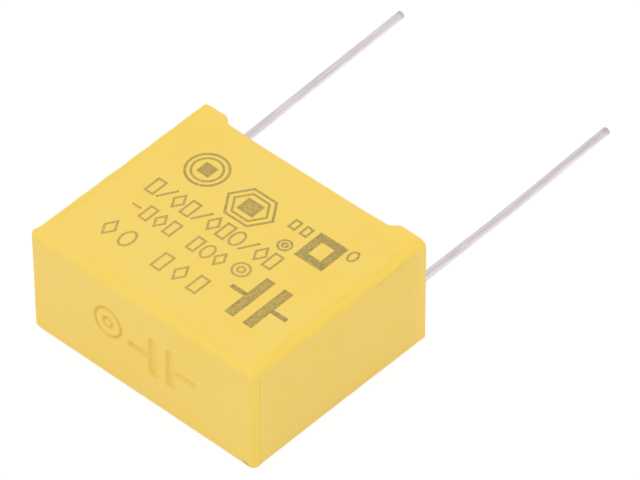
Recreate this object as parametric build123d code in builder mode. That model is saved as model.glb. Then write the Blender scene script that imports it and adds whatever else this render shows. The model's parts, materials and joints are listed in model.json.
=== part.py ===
from build123d import *
from math import atan, cos, degrees, radians, sin, tan
import os

# A boxed metallised-film capacitor with two radial leads, in millimetres.
#
# It lies on one of its large faces, which is Z = 0. X runs along the lead pitch, +Y towards the
# tips of the leads and +Z up. The origin is the middle of the face it lies on. Both large faces
# are drafted, so the case's own axis rises from +Y by the draft angle.

# Leads
pitch = 22.5
lead_diameter = 0.8
left_lead_length = 24.0    # beyond the seating plane
right_lead_length = 25.8
left_lead_lean = 2.9       # how far the left lead leans up from the case's axis, in degrees
right_lead_lean = 1.4
right_lead_drop = 0.7      # how far below the middle of the case it crosses the seating plane
round_start = 0.15         # from the seating plane out to where the pressing ends
pressed_thickness = 0.6    # of the wire where it is pressed flat to be welded
pressed_width = 1.0
weld_sink = 0.12           # how deep the pressed wire lies in the sprayed metal
flat_lead_in = 0.5         # pressed wire above the top of the winding
weld_length = 10.5         # from the top of the winding to the buried end of the wire

# Case moulding, measured at its open end
lead_margin = 1.75         # from a lead's centre line to the outside of the short wall
case_thickness = 12.0      # between the two large faces
case_height = 21.5         # from the seating plane of the feet to the closed end
wall = 0.8
end_wall = 0.9             # the closed end
draft = 0.7                # each large face, in degrees
end_draft = 0.1            # each short wall, in degrees
corner_radius = 0.9        # the four long edges
end_rounding = 0.65        # round the closed end
cavity_corner = 0.4        # inside the walls and the closed end

# Feet: what is left of the long walls at their ends where the middle is cut back
foot_length = 2.9
foot_height = 0.75
foot_flank = 0.8           # run of the sloping side of a foot
foot_rounding = 0.3

# Potting and winding
resin_recess = 0.75        # from the cut-back walls down to the resin
resin_cover = 2.0          # resin over the winding
resin_gap = 0.3            # resin between the winding and the walls
collar_reach = 0.42        # how far the resin creeps out round a lead
collar_height = 0.35
collar_lip = 0.09          # thickness of the collar's top edge
spray_thickness = 0.5      # metal sprayed on each end of the winding

case_width = pitch + 2 * lead_margin
lead_radius = lead_diameter / 2
resin_depth = foot_height + resin_recess
winding_top = resin_depth + resin_cover
winding_bottom = case_height - end_wall - resin_gap
winding_height = winding_bottom - winding_top
spray_face = pitch / 2 - pressed_thickness / 2 + weld_sink
winding_length = 2 * (spray_face - spray_thickness)


def half_width(depth):
    """Half the case's outer width at a depth below the seating plane."""
    return case_width / 2 - depth * tan(radians(end_draft))


def half_thickness(depth):
    """Half the case's outer thickness at a depth below the seating plane."""
    return case_thickness / 2 - depth * tan(radians(draft))


winding_thickness = 2 * (half_thickness(winding_bottom) - wall - resin_gap)

# The seating plane looks out of the open end: its X is the row's X and its Y runs down through the
# thickness. It is placed so that the lower large face lies on Z = 0 with its middle at the origin.
tilt = radians(draft)
to_seat = case_height / 2
to_axis = half_thickness(case_height / 2)
seat = Plane(
    origin=(0, to_seat * cos(tilt) - to_axis * sin(tilt), to_seat * sin(tilt) + to_axis * cos(tilt)),
    x_dir=(1, 0, 0),
    z_dir=(0, cos(tilt), sin(tilt)),
)
case_axis = Axis(seat.origin, seat.z_dir)

# Two planes through the middle of the case, each with its Y pointing into the case
plan_plane = Plane(origin=seat.origin, x_dir=seat.x_dir, z_dir=seat.y_dir)
side_plane = Plane(origin=seat.origin, x_dir=-seat.y_dir, z_dir=seat.x_dir)

os.makedirs("parts", exist_ok=True)


def drafted_block(depth, inset, corner, end_corner):
    """A block from the seating plane to a depth, set in from the drafted outside of the case."""
    with BuildPart() as block:
        for plane, half_size in ((side_plane, half_thickness), (plan_plane, half_width)):
            mouth = half_size(0) - inset
            end = half_size(depth) - inset
            with BuildSketch(plane):
                with BuildLine():
                    Polyline((-mouth, 0), (mouth, 0), (end, depth), (-end, depth), close=True)
                make_face()
            first = plane is side_plane
            extrude(amount=case_width, both=True, mode=Mode.ADD if first else Mode.INTERSECT)
        closed_end, *_, open_end = block.faces().sort_by(case_axis)
        fillet(block.edges() - closed_end.edges() - open_end.edges(), corner)
        fillet(block.faces().sort_by(case_axis)[0].edges(), end_corner)
    return block.part


# ---- Case ---------------------------------------------------------------------------------------

cavity = drafted_block(case_height - end_wall, wall, cavity_corner, cavity_corner)

with BuildPart() as case:
    add(drafted_block(case_height, 0, corner_radius, end_rounding))
    add(cavity, mode=Mode.SUBTRACT)

    # The long walls are cut back between the feet, so that air and flux can get out
    foot_end = case_width / 2 - foot_length
    with BuildSketch(plan_plane) as relief:
        with BuildLine():
            Polyline(
                (case_width, -foot_height),
                (case_width, 0),
                (foot_end, 0),
                (foot_end - foot_flank, foot_height),
                (foot_flank - foot_end, foot_height),
                (-foot_end, 0),
                (-case_width, 0),
                (-case_width, -foot_height),
                close=True,
            )
        make_face()
        fillet(relief.vertices().filter_by_position(Axis.X, -case_width / 2, case_width / 2), foot_rounding)
    extrude(amount=case_thickness, both=True, mode=Mode.SUBTRACT)

case.part.label = "case"
export_step(case.part, "parts/case.step")


# ---- Film winding -------------------------------------------------------------------------------

winding_middle = winding_top + winding_height / 2

with BuildPart() as film_winding:
    with BuildSketch(side_plane):
        with Locations((0, winding_middle)):
            SlotOverall(winding_height, winding_thickness, rotation=90)
    extrude(amount=winding_length / 2, both=True)

film_winding.part.label = "film_winding"
export_step(film_winding.part, "parts/film_winding.step")


# ---- Leads, and the sprayed contacts that they are welded to --------------------------------------

sides = {
    "left": (-1, left_lead_length, left_lead_lean, 0),
    "right": (1, right_lead_length, right_lead_lean, right_lead_drop),
}
buried = [film_winding.part]

for name, (side, length, lean, drop) in sides.items():
    # Across the wire where it crosses the seating plane
    rise = radians(draft + lean)
    across = Plane(
        origin=seat.from_local_coords((side * pitch / 2, drop, 0)),
        x_dir=(1, 0, 0),
        z_dir=(0, cos(rise), sin(rise)),
    )

    # Round outside the case, and from the seating plane inwards pressed more and more up to the weld
    with BuildPart() as lead:
        with BuildSketch(across.offset(round_start)) as drawn:
            Circle(lead_radius)
        with BuildSketch(across.offset(flat_lead_in - winding_top)) as pressed:
            Ellipse(pressed_thickness / 2, pressed_width / 2)
        loft()
        extrude(drawn.sketch, amount=length - round_start)
        extrude(pressed.sketch, amount=-flat_lead_in - weld_length)

    lead.part.label = f"{name}_lead"
    export_step(lead.part, f"parts/{name}_lead.step")

    with BuildPart() as end_contact:
        with BuildSketch(side_plane.offset(side * winding_length / 2)):
            with Locations((0, winding_middle)):
                SlotOverall(winding_height, winding_thickness, rotation=90)
        extrude(amount=side * spray_thickness)
        add(lead.part, mode=Mode.SUBTRACT)

    end_contact.part.label = f"{name}_end_contact"
    export_step(end_contact.part, f"parts/{name}_end_contact.step")
    buried += [lead.part, end_contact.part]


# ---- Potting resin ------------------------------------------------------------------------------

resin_top = seat.offset(-resin_depth)

with BuildPart() as potting_resin:
    add(cavity)
    split(bisect_by=resin_top, keep=Keep.BOTTOM)
    # The resin creeps a little way up each lead
    for side, _, lean, drop in sides.values():
        with BuildSketch(resin_top):
            with Locations((side * pitch / 2, drop + resin_depth * tan(radians(lean)))):
                Circle(lead_radius + collar_lip + collar_reach)
        extrude(amount=collar_height, taper=degrees(atan(collar_reach / collar_height)))
    for piece in buried:
        add(piece, mode=Mode.SUBTRACT)

potting_resin.part.label = "potting_resin"
export_step(potting_resin.part, "parts/potting_resin.step")
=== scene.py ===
import json
import math

import bpy
import bmesh
import numpy as np
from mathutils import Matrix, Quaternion, Vector


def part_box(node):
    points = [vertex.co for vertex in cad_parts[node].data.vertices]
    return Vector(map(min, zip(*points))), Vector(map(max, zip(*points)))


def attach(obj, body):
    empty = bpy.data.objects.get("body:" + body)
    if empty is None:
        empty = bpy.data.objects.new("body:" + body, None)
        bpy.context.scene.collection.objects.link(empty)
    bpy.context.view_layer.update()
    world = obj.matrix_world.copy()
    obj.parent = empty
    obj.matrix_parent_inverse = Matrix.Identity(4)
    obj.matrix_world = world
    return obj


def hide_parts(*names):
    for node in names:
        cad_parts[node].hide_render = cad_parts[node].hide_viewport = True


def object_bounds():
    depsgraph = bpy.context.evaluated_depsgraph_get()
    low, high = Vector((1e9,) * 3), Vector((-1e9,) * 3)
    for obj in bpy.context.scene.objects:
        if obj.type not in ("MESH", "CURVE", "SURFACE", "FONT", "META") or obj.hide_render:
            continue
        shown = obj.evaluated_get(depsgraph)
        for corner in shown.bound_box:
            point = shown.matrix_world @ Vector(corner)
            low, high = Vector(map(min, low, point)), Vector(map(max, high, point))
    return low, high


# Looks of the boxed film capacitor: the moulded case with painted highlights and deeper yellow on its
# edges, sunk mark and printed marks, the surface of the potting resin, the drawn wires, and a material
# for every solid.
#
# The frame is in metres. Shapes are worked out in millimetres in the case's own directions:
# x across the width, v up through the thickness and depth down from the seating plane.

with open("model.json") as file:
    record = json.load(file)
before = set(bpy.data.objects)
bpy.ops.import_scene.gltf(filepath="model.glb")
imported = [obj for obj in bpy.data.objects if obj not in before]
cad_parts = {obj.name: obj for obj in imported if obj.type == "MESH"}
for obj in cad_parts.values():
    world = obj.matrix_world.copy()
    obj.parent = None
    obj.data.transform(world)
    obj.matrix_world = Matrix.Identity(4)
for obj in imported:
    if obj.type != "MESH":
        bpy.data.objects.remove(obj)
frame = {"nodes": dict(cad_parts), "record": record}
cad_low, cad_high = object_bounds()

MM = 0.001
MOUNTS = {mount["name"]: mount for mount in frame["record"]["mounts"]}
# The seating plane: its normal, the case's own way up, and its middle
OUTWARD = np.array(MOUNTS["board_seat"]["axis"])
UPWARD = np.array([0, -OUTWARD[2], OUTWARD[1]])
SEAT = np.array(MOUNTS["board_seat"]["pos_m"]) * [0, 1, 1]

# Case moulding, as in the frame
case_low, case_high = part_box("case")
CASE_WIDTH = (case_high.x - case_low.x) / MM
CASE_THICKNESS = 12.0
CASE_HEIGHT = 21.5
WALL = 0.8
END_WALL = 0.9
DRAFT = math.radians(0.7)
END_DRAFT = math.radians(0.1)
CAVITY_CORNER = 0.4
FOOT_LENGTH = 2.9
FOOT_HEIGHT = 0.75
FOOT_FLANK = 0.8
FOOT_ROUNDING = 0.3
RESIN_DEPTH = 1.5

# What the moulding shows beyond the frame. The long edges are rounded by (reach along x, reach along v),
# which changes along the case.
LEFT_MOUTH_CORNER, LEFT_END_CORNER = (1.05, 0.8), (0.8, 0.62)
RIGHT_MOUTH_CORNER, RIGHT_END_CORNER = (0.95, 0.68), (1.0, 1.15)
RIGHT_LOWER_MOUTH_CORNER, RIGHT_LOWER_END_CORNER = (1.25, 0.75), (0.8, 0.75)
# The closed end is rounded by these reaches inwards: from the short walls and from the two large faces
END_INSET_SHORT, END_INSET_UPPER, END_INSET_LOWER = 0.38, 0.8, 0.5
END_DEPTH = 0.8                    # and by this one along the case
BEND = CASE_HEIGHT - END_DEPTH     # depth at which that rounding starts
# The long edges get sharper over their last stretch, by these shares
SHARPER_OVER = 1.4
UPPER_LEFT_SHARPER_BY, UPPER_RIGHT_SHARPER_BY, LOWER_SHARPER_BY = 0.8, 0.6, 0.35
RIM_OUTER_ROUNDING = 0.08
RIM_INNER_ROUNDING = 0.12
# The mould left a fine line where the closed end's rounding meets a short wall
CREASE_DEPTH = 0.02
CREASE_WIDTH = 0.045
CREASE_TOP, CREASE_FOOT = 4.8, -4.8        # v of its ends


# ---- Meshes --------------------------------------------------------------------------------------

def place(x, v, depth):
    """Points in metres in the frame, from millimetres in the case's own directions."""
    x, v, depth = (np.asarray(a, float)[..., None] for a in np.broadcast_arrays(x, v, depth))
    return SEAT + MM * (x * np.array([1, 0, 0]) + v * UPWARD - depth * OUTWARD)


def make_piece(name, points, faces, material):
    """A smooth closed mesh that rides on the frame's only body."""
    mesh = bpy.data.meshes.new(name)
    mesh.from_pydata([tuple(p) for p in points], [], [tuple(int(i) for i in f) for f in faces])
    tidy = bmesh.new()
    tidy.from_mesh(mesh)
    bmesh.ops.recalc_face_normals(tidy, faces=tidy.faces)
    tidy.to_mesh(mesh)
    tidy.free()
    mesh.shade_smooth()
    mesh.materials.append(material)
    piece = bpy.data.objects.new(name, mesh)
    bpy.context.scene.collection.objects.link(piece)
    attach(piece, "root")
    return piece


class Outline:
    """A rectangle with round corners as a grid of points, whose border is a ring of points."""

    def __init__(self, along_x, along_v, corner_cells):
        fx, qx = self.lines(along_x, corner_cells)
        fv, qv = self.lines(along_v, corner_cells)
        self.shape = (len(fv), len(fx))
        self.fx, self.fv = np.meshgrid(fx, fv)
        qx, qv = np.meshgrid(qx, qv)
        # A square corner is turned into a quarter of a disc
        reach = np.maximum(abs(qx), abs(qv))
        turn = np.where(
            abs(qx) >= abs(qv),
            abs(qv) / np.maximum(abs(qx), 1e-9),
            2 - abs(qx) / np.maximum(abs(qv), 1e-9),
        ) * math.pi / 4
        self.nx = np.sign(qx) * reach * np.cos(turn)
        self.nv = np.sign(qv) * reach * np.sin(turn)
        index = np.arange(fx.size * fv.size).reshape(self.shape)
        self.border = np.concatenate([index[0], index[1:, -1], index[-1, -2::-1], index[-2:0:-1, 0]])

    @staticmethod
    def lines(along, cells):
        """Share of the half side for each line of the grid, and how far into a corner it lies."""
        q = np.arange(1, cells + 1) / cells
        straight = np.asarray(along)
        f = np.concatenate([-np.ones(cells), straight, np.ones(cells)])
        return f, np.concatenate([-q[::-1], np.zeros(len(straight)), q])

    def sheet(self, half_x, half_v, corner):
        """A whole section. corner is its rounding's reach along x and along v."""
        x = self.fx * (half_x - corner[0]) + self.nx * corner[0]
        v = self.fv * (half_v - corner[1]) + self.nv * corner[1]
        return x, v

    def ring(self, half_x, half_v, corner, inset=0.0):
        """The border of a section, set in. Every size may differ round the ring."""
        fx, fv, nx, nv = (a.ravel()[self.border] for a in (self.fx, self.fv, self.nx, self.nv))
        x = fx * (half_x - corner[0]) + nx * (corner[0] - inset)
        return x, fv * (half_v - corner[1]) + nv * (corner[1] - inset)

    @property
    def normals(self):
        return self.nx.ravel()[self.border], self.nv.ravel()[self.border]


class Skin:
    """Rings and sheets of points that are sewn into one closed surface."""

    def __init__(self, outline):
        self.outline = outline
        self.points = []
        self.faces = []
        self.last = None

    def add(self, points):
        start = len(self.points)
        self.points.extend(points)
        return np.arange(start, len(self.points))

    def ring(self, points):
        """Joins a new ring to the last one."""
        new = self.add(points)
        if self.last is not None:
            a, b = self.last, new
            self.faces.extend(np.stack([a, np.roll(a, -1), np.roll(b, -1), b], 1))
        self.last = new
        return new

    def sheet(self, points, border):
        """Fills a ring with the grid of points that its outline spans."""
        rows, columns = self.outline.shape
        index = np.full(rows * columns, -1)
        index[self.outline.border] = border
        inner = np.flatnonzero(index < 0)
        index[inner] = self.add(points.reshape(-1, 3)[inner])
        index = index.reshape(rows, columns)
        quads = np.stack([index[:-1, :-1], index[:-1, 1:], index[1:, 1:], index[1:, :-1]], -1)
        self.faces.extend(quads.reshape(-1, 4))


# ---- Case: its form ------------------------------------------------------------------------------

def half_width(depth):
    """Half the outer width at a depth."""
    return CASE_WIDTH / 2 - depth * math.tan(END_DRAFT)


def half_thickness(depth):
    """Half the outer thickness at a depth."""
    return CASE_THICKNESS / 2 - depth * math.tan(DRAFT)


def smooth(value, low, high):
    """0 up to low, 1 from high on, and an even rise between them."""
    share = np.clip((value - low) / (high - low), 0, 1)
    return share * share * (3 - 2 * share)


def edge_reach(depth, side, level):
    """Reach of the long edges' rounding along x and along v. side and level are the signs of x and v."""
    share = np.clip(depth / BEND, 0, 1)
    # The upper edges are uneven, the lower ones nearly straight
    uneven = 0.06 * np.sin(1.9 * depth + 0.7) + 0.02 * np.sin(5.1 * depth + 2.0)
    uneven = uneven * np.where(level > 0, 1.0, 0.2)
    upper_by = np.where(side < 0, UPPER_LEFT_SHARPER_BY, UPPER_RIGHT_SHARPER_BY)
    sharper_by = np.where(level > 0, upper_by, LOWER_SHARPER_BY)
    sharper = 1 - sharper_by * smooth(depth, CASE_HEIGHT - SHARPER_OVER, CASE_HEIGHT)
    reaches = []
    for axis in (0, 1):
        left = LEFT_MOUTH_CORNER[axis] + (LEFT_END_CORNER[axis] - LEFT_MOUTH_CORNER[axis]) * share
        right_mouth = np.where(level > 0, RIGHT_MOUTH_CORNER[axis], RIGHT_LOWER_MOUTH_CORNER[axis])
        right_end = np.where(level > 0, RIGHT_END_CORNER[axis], RIGHT_LOWER_END_CORNER[axis])
        right = right_mouth + (right_end - right_mouth) * share ** 1.6
        reaches.append((np.where(side < 0, left, right) + uneven * np.sin(math.pi * share)) * sharper)
    return reaches


def outside(depth, lean, fx, fv):
    """Half sizes and corner reaches of the outside. lean turns from the walls to the closed end."""
    turned = 1 - math.cos(lean)
    # The upper edge of the closed end is rounded most to the left of its middle, and least at its corners
    roundest_at, rounder_by, rounder_over = -5.5, 0.35, 4
    x = fx * CASE_WIDTH / 2
    upper_inset = END_INSET_UPPER * (1 + rounder_by * np.exp(-((x - roundest_at) / rounder_over) ** 2))
    less_at_corner = np.where(x < 0, 0.6, 0.4)
    upper_inset = upper_inset * (1 - less_at_corner * np.exp(-(CASE_WIDTH / 2 - np.abs(x)) ** 2))
    half_x = half_width(depth) - END_INSET_SHORT * turned
    half_v = half_thickness(depth) - np.where(fv > 0, upper_inset, END_INSET_LOWER) * turned
    return half_x, half_v, edge_reach(depth, np.sign(fx), np.sign(fv))


def foot_profile(x):
    """Depth of the rim below the seating plane: none on the feet, and cut back between them."""
    foot_end = CASE_WIDTH / 2 - FOOT_LENGTH
    x = np.abs(x)
    slope = math.atan2(FOOT_HEIGHT, FOOT_FLANK)
    r = FOOT_ROUNDING
    tangent = r * math.tan(slope / 2)
    rim = np.clip((foot_end - x) * FOOT_HEIGHT / FOOT_FLANK, 0, FOOT_HEIGHT)
    # The cut-back edge rises a little towards the feet
    rise_share, rise_over = 0.12, 2.2
    rise = 1 - rise_share * np.exp(-((foot_end - FOOT_FLANK - x) / rise_over) ** 2)
    top = foot_end + tangent                      # centre of the foot's own rounding
    root = foot_end - FOOT_FLANK - tangent        # centre of the rounding at its root
    on_top = (x < top) & (x > top - r * math.sin(slope))
    on_root = (x > root) & (x < root + r * math.sin(slope))
    rim = np.where(on_top, r - np.sqrt(np.maximum(r ** 2 - (x - top) ** 2, 0)), rim)
    rim = np.where(on_root, FOOT_HEIGHT - r + np.sqrt(np.maximum(r ** 2 - (x - root) ** 2, 0)), rim)
    return rise * rim


def unevenness(x, v, depth):
    """How far the moulded skin has sunk in waves, always inwards."""
    sunk_by, highest = 0.014, 3.5
    waves = (
        np.sin(0.41 * x + 0.9 * v + 0.23 * depth + 0.4)
        + np.sin(-0.77 * x + 0.31 * depth + 2.1)
        + np.sin(1.13 * v - 0.52 * depth + 0.35 * x + 4.0)
        + 0.5 * np.sin(1.9 * x + 1.3 * depth + 1.0)
    )
    return sunk_by * (1 + waves / highest)


def sink(x, v, depth, nx, nv):
    """How far the walls have drawn in towards their middle as the plastic cooled."""
    face_sink, wall_sink, wall_sink_from_depth = 0.05, 0.03, 9
    along = np.sin(np.clip(depth / CASE_HEIGHT, 0, 1) * math.pi)
    in_face = np.clip(1 - (x / half_width(0)) ** 2, 0, 1) * along
    in_wall = np.clip(1 - (v / half_thickness(0)) ** 2, 0, 1) * smooth(depth, 0, wall_sink_from_depth)
    return face_sink * in_face * np.abs(nv) + wall_sink * in_wall * np.abs(nx)


def on_short_wall(nx):
    """Whether a point lies on a short wall, beyond the rounding of the long edges."""
    return np.abs(nx) > 0.999


def crease(v, depth, nx):
    """1 on the fine line along the end of a short wall, fainter towards its foot, and 0 away from it."""
    down = np.clip((CREASE_TOP - v) / 8.5, 0, 1)
    # It runs closer to the closed end as it goes down
    away = BEND - depth - CREASE_WIDTH * (1 - 1.4 * down)
    line = np.exp(-(away / CREASE_WIDTH) ** 2)
    ends = smooth(v, CREASE_TOP + 0.25, CREASE_TOP) * smooth(v, CREASE_FOOT - 0.6, CREASE_FOOT)
    return line * ends * (1 - 0.4 * down) * on_short_wall(nx)


def edge_tone(x, depth, lean, nx, nv, reach):
    """Share of the deeper, brighter yellow round the edges and beside them: partly the moulding's own
    deeper colour, partly a painted highlight.
    """
    # Round the long edges, and fading out over the large faces beside them
    across, over = np.abs(nx) / reach[0], np.abs(nv) / reach[1]
    turned = smooth(np.maximum(across, over) / np.hypot(across, over), 0.995, 0.80)
    share = np.clip(depth / CASE_HEIGHT, 0, 1)
    beside = np.maximum(half_width(depth) - reach[0] - np.abs(x), 0)
    fade = np.where(x > 0, 0.75 - 0.4 * share, 0.35) * (1 + 0.3 * np.sin(1.3 * depth + 0.6))
    long_edges = np.maximum(0.85 * turned, 0.55 * np.exp(-beside / fade) * (np.abs(nv) > 0.5))
    # Round the closed end, paler along its large faces than at its short walls
    past = smooth(depth, BEND - 0.4, BEND + 0.15) * smooth(lean, 1.5, 0.7)
    along_faces = (0.32 + 0.16 * smooth(x, -12, 12)) * past
    at_walls = 0.66 * smooth(depth, BEND - 0.13, BEND - 0.03) * smooth(lean, 1.55, 0.6)
    closed_end = np.where(np.abs(nx) > 0.7, at_walls, along_faces)
    return np.maximum(long_edges * smooth(lean, 1.4, 0.5), closed_end)


def across_edge(x, v, depth):
    """Distance across an upper long edge: above 0 towards the large face, below 0 towards the wall."""
    wander = 0.09 * np.sin(1.5 * depth + 0.4) + 0.05 * np.sin(2.9 * depth + 1.9)
    return half_width(depth) - np.abs(x) - 0.73 * (half_thickness(depth) - v) + wander


def varies_along_edge(depth):
    """A share that comes and goes along a long edge."""
    return 0.62 + 0.22 * np.sin(1.1 * depth + 2.6) + 0.16 * np.sin(2.6 * depth + 1.0)


def edge_rub(x, v, depth, lean, nx):
    """How much painted highlight the upper right edge and the closed end's rounding at the short walls
    get.
    """
    stripe_at, stripe_width = 0.08, 0.33
    stripe = np.exp(-((across_edge(x, v, depth) - stripe_at) / stripe_width) ** 2) * (x > 0) * (v > 0)
    stripe = stripe * varies_along_edge(depth + 1.5) * smooth(lean, 1.2, 0.4)
    at_walls = smooth(depth, BEND, BEND + 0.1) * smooth(lean, 1.55, 0.6) * (np.abs(nx) > 0.7)
    return np.maximum(0.9 * stripe, 0.35 * at_walls)


def edge_shade(x, v, depth, lean, nv):
    """A faint darker streak along the upper edges, part of the way round their rounding."""
    share = np.clip(depth / CASE_HEIGHT, 0, 1)
    across = across_edge(x, v, depth)
    streak = np.exp(-((across - 0.62 - 0.28 * share) / 0.22) ** 2)
    ends = smooth(depth, CASE_HEIGHT - 1.0, CASE_HEIGHT - 3.2)
    along_sides = 0.26 * varies_along_edge(depth) * streak * ends
    # A thinner line where the rounding meets the right wall, on its stretch nearest the mouth
    line = np.exp(-((across + 0.52) / 0.12) ** 2) * (0.7 + 0.3 * np.sin(2.4 * depth)) * (x > 0)
    ends = smooth(depth, 1.0, 1.8) * smooth(depth, 8.0, 5.6)
    along_sides = np.maximum(along_sides, 0.5 * line * ends)
    # Along the closed end
    past_bend = depth - BEND if lean == 0 else END_DEPTH * lean
    streak = np.exp(-((past_bend - 0.1) / 0.25) ** 2) * smooth(np.abs(x), 12.6, 11.4)
    along_end = (0.08 + 0.03 * smooth(x, -5, 9) + 0.03 * np.sin(1.7 * x)) * streak * (np.abs(nv) > 0.9)
    return np.maximum(along_sides, along_end) * (v > 0)


def paleness(depth, nx, nv):
    """How much paler the colour is near the open end, most on the short walls, plus a painted highlight
    on the lip beside the crease.
    """
    mouth = smooth(depth, 2.2, 0.2) * np.where(np.abs(nv) > 0.7, 0.4, 1.0)
    beside_crease = np.exp(-((BEND - depth - 0.18) / 0.08) ** 2) * on_short_wall(nx)
    return np.maximum(mouth, 0.45 * beside_crease)


# ---- Case: the sunk mark on the closed end -------------------------------------------------------

def bar_distance(x, v, start, end):
    """Distance from a line between two points."""
    a, b = np.array(start), np.array(end)
    along = b - a
    t = np.clip(((x - a[0]) * along[0] + (v - a[1]) * along[1]) / (along @ along), 0, 1)
    return np.hypot(x - a[0] - t * along[0], v - a[1] - t * along[1])


def sunk_mark(x, v):
    """Depth of two plain rings and a capacitor's circuit symbol pressed into the closed end."""
    ring_at, ring_radii, ring_stroke = (-3.9, 0.8), (1.5, 0.5), 0.12
    plate_at, plate_gap, plate_length, plate_stroke = (2.3, 0.0), 2.0, 1.75, 0.45
    wire_reach, wire_stroke = 3.5, 0.3
    sunk, softness = 0.29, 0.12
    from_ring = np.hypot(x - ring_at[0], v - ring_at[1])
    shapes = [abs(from_ring - radius) - ring_stroke for radius in ring_radii]
    for side in (-1, 1):
        plate_x = plate_at[0] + side * plate_gap / 2
        top, foot = plate_at[1] + plate_length, plate_at[1] - plate_length
        shapes.append(bar_distance(x, v, (plate_x, foot), (plate_x, top)) - plate_stroke)
        tip = (plate_at[0] + side * wire_reach, plate_at[1])
        shapes.append(bar_distance(x, v, (plate_x, plate_at[1]), tip) - wire_stroke)
    nearest = np.minimum.reduce(shapes)
    return sunk * smooth(nearest, softness / 2, -softness / 2)


# ---- Case: its mesh ------------------------------------------------------------------------------

def case_outline():
    """Points round the case, closer over the sunk mark, where a foot slopes and near the long edges."""
    mark_reach_x, mark_reach_v, past_slope = 6.0, 2.5, 0.25
    straight_x, straight_v = CASE_WIDTH / 2 - RIGHT_MOUTH_CORNER[0], 5.0
    foot_end = CASE_WIDTH / 2 - FOOT_LENGTH
    slope_from, slope_to = foot_end - FOOT_FLANK - past_slope, foot_end + past_slope
    half = np.concatenate([
        np.linspace(0, mark_reach_x, 84, endpoint=False),
        np.linspace(mark_reach_x, slope_from, 15, endpoint=False),
        np.linspace(slope_from, slope_to, 20, endpoint=False),
        np.linspace(slope_to, straight_x, 12),
    ]) / straight_x
    along_x = np.concatenate([-half[:0:-1], half])
    to_edge = np.array([0.35, 0.22, 0.15, 0.1, 0.05, 0.0])
    half = np.concatenate([
        np.linspace(0, mark_reach_v, 34, endpoint=False),
        np.linspace(mark_reach_v, 4.5, 12, endpoint=False),
        straight_v - to_edge,
    ]) / straight_v
    along_v = np.concatenate([-half[:0:-1], half])
    return Outline(along_x, along_v, 6)


def build_case(material):
    outline = case_outline()
    nx, nv = outline.normals
    fx, fv = (a.ravel()[outline.border] for a in (outline.fx, outline.fv))
    skin = Skin(outline)
    looks = {"tone": [], "rub": [], "shade": [], "paleness": []}

    def note(**values):
        """Keeps how the points added since the last call look."""
        for name, kept in looks.items():
            kept.extend(np.broadcast_to(values.get(name, 0.0), len(skin.points) - len(kept)))

    def inner_ring(depth, inset):
        """A ring of the cavity or of the rim, set in from the outside."""
        share = inset / WALL
        reach = edge_reach(depth, np.sign(fx), np.sign(fv))
        reach = [r + (CAVITY_CORNER + WALL - r) * share for r in reach]
        x, v = outline.ring(half_width(depth), half_thickness(depth), reach, inset)
        ring = skin.ring(place(x, v, depth))
        note()
        return ring

    def outer_ring(depth, lean=0.0):
        """A ring of the outside, at a depth that may differ round it."""
        half_x, half_v, reach = outside(depth, lean, fx, fv)
        x, v = outline.ring(half_x, half_v, reach)
        line = crease(v, depth, nx)
        tone = edge_tone(x, depth, lean, nx, nv, reach)
        shade = np.maximum(line, edge_shade(x, v, depth, lean, nv))
        rub = edge_rub(x, v, depth, lean, nx)
        sunk = unevenness(x, v, depth) + sink(x, v, depth, nx, nv) * math.cos(lean)
        sunk = sunk + CREASE_DEPTH * line
        x = x - sunk * nx * math.cos(lean)
        v = v - sunk * nv * math.cos(lean)
        ring = skin.ring(place(x, v, depth - sunk * math.sin(lean)))
        note(tone=tone, rub=rub, shade=shade, paleness=paleness(depth, nx, nv))
        return ring

    rim = foot_profile(outline.ring(*outside(0.0, 0.0, fx, fv))[0])

    # Cavity, from its floor, which the resin hides, up to the rim
    floor = inner_ring(np.full(rim.shape, CASE_HEIGHT - END_WALL), WALL)
    skin.faces.append(floor)
    for depth in (12.0, 4.0, 2.2, 1.6, 1.3, 1.1):
        inner_ring(np.maximum(np.full(rim.shape, depth), rim + RIM_INNER_ROUNDING + 0.03), WALL)

    # Rim: round inner edge, flat top, round outer edge
    for turn in np.linspace(0, math.pi / 2, 5):
        inset = WALL - RIM_INNER_ROUNDING * (1 - math.cos(turn))
        inner_ring(rim + RIM_INNER_ROUNDING * (1 - math.sin(turn)), inset)
    for turn in np.linspace(math.pi / 2, 0, 5, endpoint=False):
        inset = RIM_OUTER_ROUNDING * (1 - math.cos(turn))
        inner_ring(rim + RIM_OUTER_ROUNDING * (1 - math.sin(turn)), inset)

    # Outside, from the rim to the closed end, closest where the crease runs, then round it
    start = rim + RIM_OUTER_ROUNDING
    even_from = 2.2
    for share in (0, 0.25, 0.5, 0.75):
        outer_ring(start + (even_from - start) * share)
    close = np.array([0.24, 0.17, 0.13, 0.1, 0.075, 0.05, 0.025, 0])
    even = np.linspace(even_from, BEND - 1.2, 26)
    depths = np.concatenate([even, BEND - np.linspace(0.9, 0.35, 3), BEND - close])
    for depth in depths:
        outer_ring(np.full(rim.shape, depth))
    for lean in np.concatenate([[0.035, 0.07], np.linspace(0, math.pi / 2, 12)[1:]]):
        last = outer_ring(np.full(rim.shape, BEND + END_DEPTH * math.sin(lean)), lean)

    # The flat end
    ex, ev = outline.sheet(*outside(CASE_HEIGHT, math.pi / 2, outline.fx, outline.fv))
    skin.sheet(place(ex, ev, CASE_HEIGHT - unevenness(ex, ev, CASE_HEIGHT) - sunk_mark(ex, ev)), last)
    note()

    piece = make_piece("case_shell", skin.points, skin.faces, material)
    for name, values in looks.items():
        attribute = piece.data.attributes.new(name, "FLOAT", "POINT")
        attribute.data.foreach_set("value", np.array(values, np.float32))
    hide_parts("case")


# ---- Node materials ------------------------------------------------------------------------------

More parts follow.
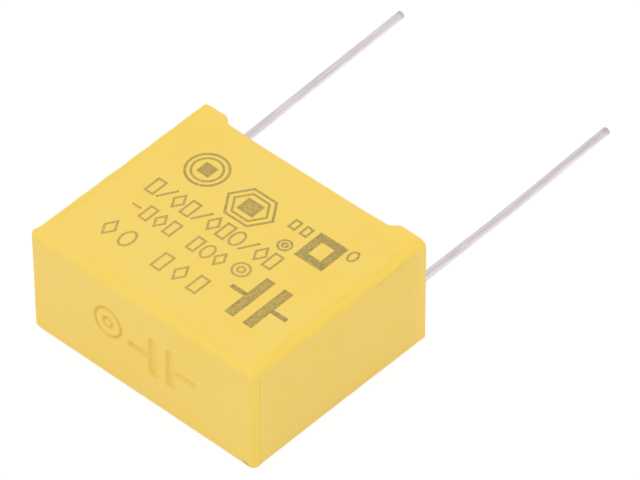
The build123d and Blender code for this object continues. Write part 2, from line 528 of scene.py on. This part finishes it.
class Graph:
    """A material's node tree, with short calls for the nodes used here."""

    def __init__(self, name):
        self.material = bpy.data.materials.new(name)
        self.material.use_nodes = True
        self.tree = self.material.node_tree
        self.tree.nodes.clear()
        self.surface = self.node("ShaderNodeBsdfPrincipled")
        out = self.node("ShaderNodeOutputMaterial")
        self.tree.links.new(self.surface.outputs[0], out.inputs["Surface"])
        in_object = self.node("ShaderNodeTexCoord").outputs["Object"]
        # Object space in millimetres
        self.mm = self.vector("SCALE", in_object, scale=1 / MM)

    def node(self, kind, **settings):
        made = self.tree.nodes.new(kind)
        for key, value in settings.items():
            setattr(made, key, value)
        return made

    def put(self, socket, value):
        """Links a socket to another one, or sets it to a plain value."""
        if isinstance(value, bpy.types.NodeSocket):
            self.tree.links.new(value, socket)
        else:
            socket.default_value = value

    def vector(self, operation, a, b=None, scale=None):
        made = self.node("ShaderNodeVectorMath", operation=operation)
        self.put(made.inputs[0], a)
        if b is not None:
            self.put(made.inputs[1], b)
        if scale is not None:
            self.put(made.inputs["Scale"], scale)
        return made.outputs["Vector"]

    def math(self, operation, a, b=0.5, clamp=False):
        made = self.node("ShaderNodeMath", operation=operation, use_clamp=clamp)
        self.put(made.inputs[0], a)
        self.put(made.inputs[1], b)
        return made.outputs[0]

    def noise(self, scale, detail=2.0, roughness=0.5, stretch=(1, 1, 1), at=None):
        made = self.node("ShaderNodeTexNoise")
        self.put(made.inputs["Vector"], self.vector("MULTIPLY", at or self.mm, stretch))
        self.put(made.inputs["Scale"], scale)
        self.put(made.inputs["Detail"], detail)
        self.put(made.inputs["Roughness"], roughness)
        return made.outputs[0]

    def range(self, value, low, high, to_low=0.0, to_high=1.0):
        made = self.node("ShaderNodeMapRange", interpolation_type="SMOOTHSTEP")
        for socket, number in zip(made.inputs, (value, low, high, to_low, to_high)):
            self.put(socket, number)
        return made.outputs[0]

    def mix(self, share, a, b):
        made = self.node("ShaderNodeMix", data_type="RGBA")
        for index, value in ((0, share), (6, a), (7, b)):
            self.put(made.inputs[index], value)
        return made.outputs[2]

    def point_value(self, name, output="Fac"):
        """A number, or a vector, that the mesh keeps for each point."""
        return self.node("ShaderNodeAttribute", attribute_name=name).outputs[output]

    def bump(self, height, distance, strength=1.0):
        made = self.node("ShaderNodeBump")
        self.put(made.inputs["Height"], height)
        self.put(made.inputs["Distance"], distance)
        self.put(made.inputs["Strength"], strength)
        return made.outputs[0]

    def near(self, spot, reach, at=None):
        """1 at a spot and 0 beyond its reach, both in millimetres."""
        made = self.node("ShaderNodeVectorMath", operation="DISTANCE")
        self.put(made.inputs[0], at or self.mm)
        self.put(made.inputs[1], spot)
        return self.range(made.outputs["Value"], reach, 0.3 * reach)

    def finish(self, color, roughness, bump=None, **constants):
        self.put(self.surface.inputs["Base Color"], color)
        self.put(self.surface.inputs["Roughness"], roughness)
        if bump is not None:
            self.put(self.surface.inputs["Normal"], bump)
        for name, value in constants.items():
            self.surface.inputs[name.replace("_", " ")].default_value = value
        return self.material


def rgb(red, green, blue):
    """A colour as a screen shows it, 0 to 255, turned into a linear one."""
    linear = [(c / 255 / 12.92) if c / 255 <= 0.04045 else ((c / 255 + 0.055) / 1.055) ** 2.4
              for c in (red, green, blue)]
    return (*linear, 1.0)


YELLOW = rgb(248, 212, 93)
PALE_YELLOW = rgb(247, 213, 100)
DEEP_YELLOW = rgb(247, 208, 82)
MOUTH_AND_HIGHLIGHT_YELLOW = rgb(255, 216, 102)
EDGE_TONE_AND_HIGHLIGHT = rgb(251, 213, 80)
HIGHLIGHT_YELLOW = rgb(255, 217, 88)
SHADE_YELLOW = rgb(222, 184, 72)
DARK_SPECK = rgb(182, 148, 82)
INK = rgb(170, 149, 80)
LIGHT_INK = rgb(198, 170, 86)
BROWN_YELLOW = rgb(222, 192, 104)


def case_plastic():
    g = Graph("moulded_yellow_plastic")
    patches = g.range(g.noise(0.16, 3.0), 0.35, 0.65)
    color = g.mix(patches, YELLOW, PALE_YELLOW)
    mottle = g.range(g.noise(2.6, 2.0), 0.56, 0.72, 0.0, 0.25)
    color = g.mix(mottle, color, DEEP_YELLOW)
    # Paler near the open end, and a painted highlight on the lip beside the crease
    color = g.mix(g.point_value("paleness"), color, MOUTH_AND_HIGHLIGHT_YELLOW)
    # The edges' deeper yellow: partly the moulding's own colour, partly a painted highlight
    color = g.mix(g.point_value("tone"), color, EDGE_TONE_AND_HIGHLIGHT)
    # Painted highlight along edges, most of all at the upper right corner of the closed end
    right = half_width(0)
    corner = g.near(place(right - 0.3, 5.55, CASE_HEIGHT - 0.2) / MM, 0.65)
    rubbed = g.math("MAXIMUM", g.point_value("rub"), g.math("MULTIPLY", corner, 0.75))
    color = g.mix(rubbed, color, HIGHLIGHT_YELLOW)
    color = g.mix(g.math("MULTIPLY", g.point_value("shade"), 0.75), color, SHADE_YELLOW)
    # Rare specks, and darker spots: five specks on the right short wall, one beside the painted highlight
    # at the upper right corner of the closed end and one where the closed end meets the lower face
    specks = g.range(g.noise(3.4, 1.0), 0.80, 0.86, 0.0, 0.2)
    for x, v, depth, reach, share in (
        (right, 1.9, 2.1, 0.26, 0.13),
        (right, 1.8, 3.3, 0.32, 0.16),
        (right, 4.7, 8.3, 0.3, 0.13),
        (right, 3.4, 10.9, 0.22, 0.18),
        (right, -2.3, 2.7, 0.22, 0.2),
        (right - 1.2, 4.85, CASE_HEIGHT, 0.4, 0.08),
        (right - 1.0, -5.4, CASE_HEIGHT - 0.1, 0.6, 0.7),
    ):
        dark_spot = g.math("MULTIPLY", g.near(place(x, v, depth) / MM, reach), share)
        specks = g.math("MAXIMUM", specks, dark_spot)
    color = g.mix(specks, color, DARK_SPECK)
    roughness = g.range(g.noise(1.3, 3.0), 0.3, 0.7, 0.40, 0.52)
    grain = g.bump(g.noise(9.0, 3.0), 0.004 * MM, 0.6)
    return g.finish(color, roughness, grain, IOR=1.5)


def ink():
    """Plastic browned by a marking laser: dots that run together."""
    g = Graph("laser_marking")
    color = g.mix(g.point_value("faintness"), INK, LIGHT_INK)
    dots = g.range(g.noise(6.0, 1.0), 0.42, 0.62)
    color = g.mix(g.math("MULTIPLY", dots, 0.55), color, BROWN_YELLOW)
    return g.finish(color, g.range(g.noise(5.0), 0.3, 0.7, 0.5, 0.7))


def potting_resin():
    g = Graph("cast_epoxy")
    cloud = g.range(g.noise(0.3, 2.0), 0.3, 0.7)
    color = g.mix(cloud, rgb(238, 208, 124), rgb(234, 202, 114))
    bubbles = g.range(g.noise(5.5, 1.0), 0.76, 0.82, 0.0, 0.5)
    color = g.mix(bubbles, color, rgb(244, 224, 168))
    ripple = g.bump(g.noise(0.6, 1.0), 0.012 * MM, 0.5)
    return g.finish(color, g.range(g.noise(1.2), 0.3, 0.7, 0.10, 0.18), ripple, IOR=1.55)


def tinned_wire():
    g = Graph("tinned_wire")
    # Streaks along the wire, in its own directions: across it, along it and across it again
    in_wire = g.point_value("in_wire", "Vector")
    drawn = g.noise(9.0, 3.0, stretch=(1, 0.03, 1), at=in_wire)
    blotch = g.noise(1.1, 3.0, stretch=(1, 0.5, 1), at=in_wire)
    color = g.mix(g.range(drawn, 0.35, 0.65), rgb(227, 216, 218), rgb(245, 237, 238))
    color = g.mix(g.range(blotch, 0.45, 0.75, 0.0, 0.4), color, rgb(222, 211, 213))
    # A fine darker line along the wire: a painted reflection of something dark
    line = g.near((0.39, 0.0, 0.0), 0.1, g.vector("MULTIPLY", in_wire, (1, 0, 1)))
    line = g.math("MULTIPLY", line, g.range(g.noise(0.5, 2.0), 0.3, 0.6, 0.25, 0.55))
    color = g.mix(line, color, rgb(202, 190, 195))
    flecks = g.range(g.noise(4.0, 1.0), 0.74, 0.80)
    color = g.mix(flecks, color, rgb(255, 254, 254))
    color = g.mix(g.math("MULTIPLY", g.point_value("cut"), 0.6), color, rgb(176, 172, 175))
    roughness = g.range(g.noise(3.0, 3.0), 0.3, 0.7, 0.28, 0.42)
    lines = g.bump(drawn, 0.003 * MM, 0.5)
    return g.finish(color, roughness, lines, Metallic=1.0)


def wound_film():
    g = Graph("metallised_film")
    layers = g.noise(6.0, 2.0, stretch=(0.05, 1, 3))
    color = g.mix(g.range(layers, 0.35, 0.65), rgb(206, 210, 214), rgb(176, 181, 188))
    roughness = g.range(layers, 0.3, 0.7, 0.22, 0.4)
    return g.finish(color, roughness, g.bump(layers, 0.01 * MM), Metallic=0.6)


def sprayed_zinc():
    g = Graph("sprayed_zinc")
    grains = g.noise(7.0, 4.0, 0.7)
    color = g.mix(g.range(grains, 0.35, 0.65), rgb(150, 151, 154), rgb(190, 190, 192))
    roughness = g.range(grains, 0.3, 0.7, 0.55, 0.8)
    return g.finish(color, roughness, g.bump(grains, 0.05 * MM), Metallic=0.8)


# ---- Printed marks -------------------------------------------------------------------------------

INK_LIFT = 0.008           # of the ink's two sides from the face, one above it and one below
STROKE = 0.215
BLOCK_STROKE = 0.14        # outline of a filled block
HATCH_PITCH, HATCH_STROKE = 0.2, 0.16


class Print:
    """Strokes on the upper large face, as thin ribbons of ink.

    Places are (across, up) in millimetres as the print is read, with the leads hanging down:
    across runs to -X, and up runs from the seating plane to the closed end."""

    def __init__(self):
        self.points = []
        self.faces = []
        self.faint = []
        self.faintness = 0.0

    def on_face(self, across, up, lift):
        """Points lifted from the printed face."""
        x, depth = -across, up
        v = half_thickness(depth) - unevenness(x, half_thickness(depth), depth)
        v = v - sink(x, half_thickness(depth), depth, 0.0, 1.0)
        return place(x, v + lift, depth)

    def ribbon(self, line, width=STROKE, closed=False):
        """A flat ribbon along a line of points, square at its ends."""
        line = np.array(line, float)
        if closed:
            ahead, behind = np.roll(line, -1, 0), np.roll(line, 1, 0)
        else:
            ahead = np.vstack([line[1:], 2 * line[-1] - line[-2]])
            behind = np.vstack([2 * line[0] - line[1], line[:-1]])
        into = (line - behind) / np.linalg.norm(line - behind, axis=1)[:, None]
        out = (ahead - line) / np.linalg.norm(ahead - line, axis=1)[:, None]
        along = into + out
        along /= np.linalg.norm(along, axis=1)[:, None]
        side = np.stack([-along[:, 1], along[:, 0]], 1)
        mitre = np.clip(1 / np.maximum((along * out).sum(1), 0.35), 1, 2)
        offset = side * (width / 2 * mitre)[:, None]
        left, right = line + offset, line - offset
        start, count = len(self.points), len(line)
        for edge, lift in ((left, -INK_LIFT), (left, INK_LIFT), (right, INK_LIFT), (right, -INK_LIFT)):
            self.points.extend(self.on_face(edge[:, 0], edge[:, 1], lift))
        self.faint.extend([self.faintness] * (4 * count))
        steps = range(count if closed else count - 1)
        for i in steps:
            j = (i + 1) % count
            for a in range(4):
                b = (a + 1) % 4
                self.faces.append([start + a * count + i, start + a * count + j,
                                   start + b * count + j, start + b * count + i])
        if not closed:
            for i in (0, count - 1):
                self.faces.append([start + a * count + i for a in range(4)])

    def stroke(self, *spots, width=STROKE):
        """Straight strokes from spot to spot, in short runs so that they follow the face."""
        line = [np.array(spots[0], float)]
        for a, b in zip(spots, spots[1:]):
            a, b = np.array(a, float), np.array(b, float)
            steps = max(1, int(np.linalg.norm(b - a) / 0.6))
            line += [a + (b - a) * k / steps for k in range(1, steps + 1)]
        self.ribbon(line, width)

    def frame(self, across, up, half_across, half_up, width=STROKE):
        """The outline of a rectangle."""
        signs = ((-1, -1), (1, -1), (1, 1), (-1, 1))
        corners = [(across + a * half_across, up + b * half_up) for a, b in signs]
        self.ribbon(corners, width, closed=True)

    def oval(self, across, up, half_across, half_up, width=STROKE):
        turns = np.linspace(0, 2 * math.pi, 40, endpoint=False)
        line = np.stack([across + half_across * np.cos(turns), up + half_up * np.sin(turns)], 1)
        self.ribbon(line, width, closed=True)

    def hatch(self, across, up, half_across, half_up):
        """Lines side by side that fill a rectangle, as the laser does."""
        count = math.ceil(2 * half_up / HATCH_PITCH)
        for k in range(count):
            at = up - half_up + (k + 0.5) * 2 * half_up / count
            self.stroke((across - half_across, at), (across + half_across, at), width=HATCH_STROKE)

    def block(self, across, up, half_across, half_up):
        """A rectangle that is outlined and filled."""
        inside = 0.05
        self.frame(across, up, half_across, half_up, BLOCK_STROKE)
        self.hatch(across, up, half_across - inside, half_up - inside)


def symbol(marks, across, up, size):
    """A capacitor's circuit symbol: two plates and their wires."""
    gap, plate, thick, reach = 0.2 * size, 0.5 * size, 0.085 * size, 0.62 * size
    for side in (-1, 1):
        marks.block(across + side * gap, up, thick, plate)
        plate_face, tip = (across + side * (gap + thick), up), (across + side * reach, up)
        marks.stroke(plate_face, tip, width=0.09 * size)


def cell_row(marks, pattern, across, up, height, pitch):
    """A row of plain cells: o ring, b box, d diamond, s slanting bar, - dash and a space."""
    half = height / 2
    for k, kind in enumerate(pattern):
        at = across + k * pitch
        if kind == "o":
            marks.oval(at, up, 0.32 * height, half)
        elif kind == "b":
            marks.frame(at, up, 0.25 * height, half)
        elif kind == "d":
            aside = 0.31 * height
            tips = ((at - aside, up), (at, up - half), (at + aside, up), (at, up + half))
            marks.ribbon(tips, closed=True)
        elif kind == "s":
            marks.stroke((at - 0.3 * height, up - half), (at + 0.3 * height, up + half))
        elif kind == "-":
            marks.stroke((at - 0.3 * height, up), (at + 0.3 * height, up))


def build_print(material):
    """A circuit symbol, rows of plain cells and plain marks, in inks of several strengths."""
    marks = Print()
    symbol(marks, -7.4, 14.8, 5.1)
    marks.faintness = 0.85
    cell_row(marks, "bdb od", -2.1, 16.6, 1.9, 2.05)
    marks.oval(-3.6, 12.9, 0.8, 0.8)
    marks.oval(-3.6, 12.9, 0.33, 0.33)
    cell_row(marks, "dob bdb-", -1.4, 13.2, 1.6, 1.38)
    marks.faintness = 0.6
    cell_row(marks, "bdsobdsbdsb", -4.9, 10.4, 1.75, 1.36)
    # A round mark and a hexagon nearest the leads
    marks.faintness = 0.25
    for radius, width in ((1.95, 0.24), (1.42, 0.22)):
        marks.oval(6.8, 6.0, radius, radius, width)
    marks.block(6.8, 6.0, 0.62, 0.62)
    turns = np.arange(6) * math.pi / 3
    for reach, width in ((2.55, 0.24), (1.85, 0.22)):
        corners = np.stack([0.9 + reach * np.cos(turns), 6.9 + 0.85 * reach * np.sin(turns)], 1)
        marks.ribbon(corners, width, closed=True)
    marks.block(0.9, 6.9, 0.85, 0.75)
    # A bold square frame, and small marks round it
    marks.faintness = 0.0
    for up in (5.55, 8.15):
        marks.block(-7.2, up, 1.5, 0.36)
    for across in (-8.34, -6.06):
        marks.block(across, 6.85, 0.36, 0.9)
    marks.faintness = 0.25
    marks.oval(-4.35, 8.3, 0.62, 0.62)
    marks.oval(-4.35, 8.3, 0.24, 0.24)
    for across in (-4.65, -3.35):
        marks.frame(across, 5.9, 0.32, 0.5)
    marks.oval(-9.6, 5.5, 0.4, 0.6)
    piece = make_piece("printed_marks", marks.points, marks.faces, material)
    piece.data.attributes.new("faintness", "FLOAT", "POINT").data.foreach_set("value", marks.faint)


# ---- Surface of the potting resin ----------------------------------------------------------------

def lead_place(name, depth):
    """Where a lead's centre line crosses a plane at a depth: x and v."""
    start = (np.array(MOUNTS[name]["pos_m"]) - SEAT) / MM
    along = np.array(MOUNTS[name]["axis"])
    spot = start - along * (start @ OUTWARD + depth) / (along @ OUTWARD)
    return spot[0], spot @ UPWARD


def build_resin_surface(material):
    """A thin skin on the poured resin, which climbs the walls and the leads."""
    climb, reach = 0.32, 0.4
    collar, collar_reach = 0.55, 0.28
    skin_thickness, wave_height = 0.05, 0.012
    half_x, half_v = half_width(RESIN_DEPTH) - WALL, half_thickness(RESIN_DEPTH) - WALL
    # The points lie closer round the leads and along the walls
    leads_from, leads_reach = 9.6, 2.0
    from_wall = np.array([0.0, 0.05, 0.11, 0.18, 0.27, 0.38, 0.5])
    inner_x = half_x - CAVITY_CORNER
    half = np.concatenate([
        np.linspace(0, leads_from, 44, endpoint=False),
        np.linspace(leads_from, inner_x, 30),
    ]) / inner_x
    along_x = np.concatenate([-half[:0:-1], half])
    inner_v = half_v - CAVITY_CORNER
    half = np.concatenate([
        np.linspace(0, leads_reach, 22, endpoint=False),
        np.linspace(leads_reach, inner_v - 0.6, 11),
        inner_v - from_wall[::-1],
    ])
    along_v = np.concatenate([-half[:0:-1], half]) / inner_v
    outline = Outline(along_x, along_v, 8)
    skin = Skin(outline)

    def height(x, v):
        """How far the surface stands above the resin's flat level."""
        in_x, in_v = half_x - np.abs(x), half_v - np.abs(v)
        cx, cv = np.maximum(CAVITY_CORNER - in_x, 0), np.maximum(CAVITY_CORNER - in_v, 0)
        to_wall = np.where((cx > 0) & (cv > 0), CAVITY_CORNER - np.hypot(cx, cv), np.minimum(in_x, in_v))
        lift = skin_thickness + climb * np.exp(-np.maximum(to_wall, 0) / reach)
        for name in ("left_lead", "right_lead"):
            lead_x, lead_v = lead_place(name, RESIN_DEPTH)
            radius = MOUNTS[name]["dims"]["r_mm"]
            away = np.maximum(np.hypot(x - lead_x, v - lead_v) - radius, 0)
            lift = lift + collar * np.exp(-away / collar_reach)
        return lift + wave_height * np.sin(0.9 * x + 0.7) * np.sin(1.3 * v + 0.2)

    corner = (CAVITY_CORNER, CAVITY_CORNER)
    x, v = outline.sheet(half_x, half_v, corner)
    rx, rv = outline.ring(half_x, half_v, corner)
    bottom = skin.ring(place(rx, rv, RESIN_DEPTH))
    skin.sheet(place(x, v, RESIN_DEPTH), bottom)
    top = skin.ring(place(rx, rv, RESIN_DEPTH - height(rx, rv)))
    skin.sheet(place(x, v, RESIN_DEPTH - height(x, v)), top)
    make_piece("resin_surface", skin.points, skin.faces, material)


# ---- Leads ---------------------------------------------------------------------------------------

def build_lead(name, material, seed, line_turn, bow=0.0):
    """A drawn wire, cut off at its tip and pressed flat where it is welded.

    line_turn is where the painted dark reflection line runs round the wire, in degrees from +X. bow is
    how far the middle sags."""
    mount = MOUNTS[name]
    radius, length = mount["dims"]["r_mm"], mount["dims"]["length_mm"]
    start, along = np.array(mount["pos_m"]), np.array(mount["axis"])
    across = np.array([1.0, 0, 0])
    over = np.cross(across, along)
    lead_low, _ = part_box(name)
    buried = (start[1] - lead_low.y) / MM / along[1]
    press_from, press_to = RESIN_DEPTH + 0.2, 3.15
    pressed = (0.3, 0.5)
    dent_depth = 0.006
    sides = 40
    turns = np.linspace(0, 2 * math.pi, sides, endpoint=False)
    draw = np.random.default_rng(seed)
    phases = draw.uniform(0, 2 * math.pi, 6)
    # The cut isn't quite square to the wire, and its edge is rounded in two steps
    tilt = math.radians(draw.uniform(4, 9))
    heading = draw.uniform(0, 2 * math.pi)
    bevel = 0.1
    bevel_step = 0.35 * bevel
    thinner = {0: bevel, 1: bevel_step}        # by how much the first two rings are
    cut_over, cut_mark_over = 1.0, 0.7

    stretches = np.concatenate([
        [length, length],
        np.linspace(length - bevel, length - cut_over, 8),
        np.linspace(length - cut_over, 0, 120)[1:],
        np.linspace(0, -buried, 60)[1:],
    ])
    points = []
    cut_marks = []
    in_wire = []
    from_line = turns - math.radians(line_turn)
    for k, t in enumerate(stretches):
        share = smooth(-t, press_from, press_to)
        half_x = radius + (pressed[0] - radius) * share
        half_z = radius + (pressed[1] - radius) * share
        dent = dent_depth * np.sin(2.3 * t + turns + phases[0]) * np.sin(0.9 * t - 2 * turns + phases[1])
        scale = 1 - thinner.get(k, 0) / radius + dent - dent_depth
        x = half_x * scale * np.cos(turns)
        z = half_z * scale * np.sin(turns)
        in_wire.append(np.stack([
            radius * np.cos(from_line),
            np.full(sides, t),
            radius * np.sin(from_line),
        ], 1))
        cut = max(0.0, 1 - (length - t) / cut_over)
        slant = -(radius + x * math.cos(heading) + z * math.sin(heading)) * math.tan(tilt) * cut
        if k == 1:
            slant = slant - bevel_step
        z = z - bow * math.sin(math.pi * min(max(t / length, 0), 1)) ** 2
        ring = start + MM * ((t + slant)[:, None] * along + x[:, None] * across + z[:, None] * over)
        points.extend(ring)
        cut_marks.extend([max(0.0, 1 - (length - t) / cut_mark_over)] * sides)
    faces = []
    for k in range(len(stretches) - 1):
        for a in range(sides):
            b = (a + 1) % sides
            faces.append([k * sides + a, k * sides + b, (k + 1) * sides + b, (k + 1) * sides + a])
    faces.append(list(range(sides)))
    faces.append([(len(stretches) - 1) * sides + a for a in range(sides)])
    piece = make_piece(f"{name}_wire", points, faces, material)
    piece.data.attributes.new("cut", "FLOAT", "POINT").data.foreach_set("value", cut_marks)
    places = piece.data.attributes.new("in_wire", "FLOAT_VECTOR", "POINT")
    places.data.foreach_set("vector", np.vstack(in_wire).astype(np.float32).ravel())
    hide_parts(name)


# ---- Pieces --------------------------------------------------------------------------------------

resin = potting_resin()
wire = tinned_wire()
build_case(case_plastic())
build_print(ink())
build_resin_surface(resin)
build_lead("left_lead", wire, 3, line_turn=150)
build_lead("right_lead", wire, 8, line_turn=67, bow=0.18)

zinc = sprayed_zinc()
for node, material in (
    ("potting_resin", resin),
    ("film_winding", wound_film()),
    ("left_end_contact", zinc),
    ("right_end_contact", zinc),
):
    solid = frame["nodes"][node]
    solid.data.materials.clear()
    solid.data.materials.append(material)


# ---- Floor, light and camera ---------------------------------------------------------------------

def seen_directly(tree):
    """1 for what the camera sees, directly or in gloss or glass."""
    path = tree.nodes.new("ShaderNodeLightPath")
    total = path.outputs["Is Camera Ray"]
    for name in ("Is Glossy Ray", "Is Transmission Ray"):
        add = tree.nodes.new("ShaderNodeMath")
        add.operation = "MAXIMUM"
        tree.links.new(total, add.inputs[0])
        tree.links.new(path.outputs[name], add.inputs[1])
        total = add.outputs[0]
    return total


def build_floor():
    """A pale table top that shows white and keeps a faint shadow of the part."""
    half, shadow_share, white_strength = 2.0, 0.16, 1.08
    steps = (-1, 0, 1)
    mesh = bpy.data.meshes.new("floor")
    z = cad_low.z - 0.01 * MM
    spots = [(x * half, y * half, z) for y in steps for x in steps]
    quads = [(i, i + 1, i + 4, i + 3) for i in (0, 1, 3, 4)]
    mesh.from_pydata(spots, [], quads)
    floor = bpy.data.objects.new("floor", mesh)
    bpy.context.scene.collection.objects.link(floor)

    material = bpy.data.materials.new("pale_floor")
    material.use_nodes = True
    tree = material.node_tree
    tree.nodes.clear()
    matt = tree.nodes.new("ShaderNodeBsdfDiffuse")
    matt.inputs["Color"].default_value = (0.86, 0.86, 0.86, 1)
    white = tree.nodes.new("ShaderNodeEmission")
    white.inputs["Strength"].default_value = white_strength
    mixed = tree.nodes.new("ShaderNodeMixShader")
    out = tree.nodes.new("ShaderNodeOutputMaterial")
    share = tree.nodes.new("ShaderNodeMath")
    share.operation = "MULTIPLY"
    share.inputs[1].default_value = 1 - shadow_share
    tree.links.new(seen_directly(tree), share.inputs[0])
    tree.links.new(share.outputs[0], mixed.inputs[0])
    tree.links.new(matt.outputs[0], mixed.inputs[1])
    tree.links.new(white.outputs[0], mixed.inputs[2])
    tree.links.new(mixed.outputs[0], out.inputs["Surface"])
    mesh.materials.append(material)


def build_world():
    """An even white sky, a little brighter towards the horizon."""
    horizon, zenith = 1.165, 1.145
    world = bpy.data.worlds.new("studio")
    bpy.context.scene.world = world
    world.use_nodes = True
    tree = world.node_tree
    tree.nodes.clear()
    place_in_sky = tree.nodes.new("ShaderNodeTexCoord")
    parts = tree.nodes.new("ShaderNodeSeparateXYZ")
    tree.links.new(place_in_sky.outputs["Generated"], parts.inputs[0])
    rise = tree.nodes.new("ShaderNodeMapRange")
    tree.links.new(parts.outputs["Z"], rise.inputs[0])
    for socket, value in zip(rise.inputs[1:5], (0.0, 1.0, horizon, zenith)):
        socket.default_value = value
    lit = tree.nodes.new("ShaderNodeBackground")
    tree.links.new(rise.outputs[0], lit.inputs["Strength"])
    seen = tree.nodes.new("ShaderNodeBackground")
    mixed = tree.nodes.new("ShaderNodeMixShader")
    out = tree.nodes.new("ShaderNodeOutputWorld")
    tree.links.new(seen_directly(tree), mixed.inputs[0])
    tree.links.new(lit.outputs[0], mixed.inputs[1])
    tree.links.new(seen.outputs[0], mixed.inputs[2])
    tree.links.new(mixed.outputs[0], out.inputs["Surface"])


def build_softbox(name, azimuth, elevation, distance, size, power):
    """A soft lamp that looks at the part."""
    lamp = bpy.data.lights.new(name, "AREA")
    lamp.shape = "DISK"
    lamp.size = size
    lamp.energy = power
    holder = bpy.data.objects.new(name, lamp)
    bpy.context.scene.collection.objects.link(holder)
    back = direction(azimuth, elevation)
    holder.location = back * distance
    holder.rotation_mode = "QUATERNION"
    holder.rotation_quaternion = (-back).to_track_quat("-Z", "Y")


def direction(azimuth, elevation):
    """From the part towards a viewer: azimuth 0 stands at -Y and 90 at +X."""
    a, e = math.radians(azimuth), math.radians(elevation)
    return Vector((math.sin(a) * math.cos(e), -math.cos(a) * math.cos(e), math.sin(e)))


def build_camera():
    """A long lens, as in the photograph."""
    azimuth, elevation, roll = 42.168, 43.627, 0.446
    data = bpy.data.cameras.new("camera")
    data.sensor_width = 36.0
    data.lens = 334.3
    data.clip_start = 0.01
    data.clip_end = 20.0
    camera = bpy.data.objects.new("camera", data)
    bpy.context.scene.collection.objects.link(camera)
    camera.location = (250.13 * MM, -264.64 * MM, 358.25 * MM)
    camera.rotation_mode = "QUATERNION"
    level = (-direction(azimuth, elevation)).to_track_quat("-Z", "Y")
    camera.rotation_quaternion = level @ Quaternion((0, 0, 1), math.radians(roll))
    bpy.context.scene.camera = camera


build_floor()
build_world()
build_softbox("softbox", azimuth=-20, elevation=60, distance=0.6, size=0.5, power=0.35)
build_camera()
bpy.context.scene.view_settings.view_transform = "Standard"
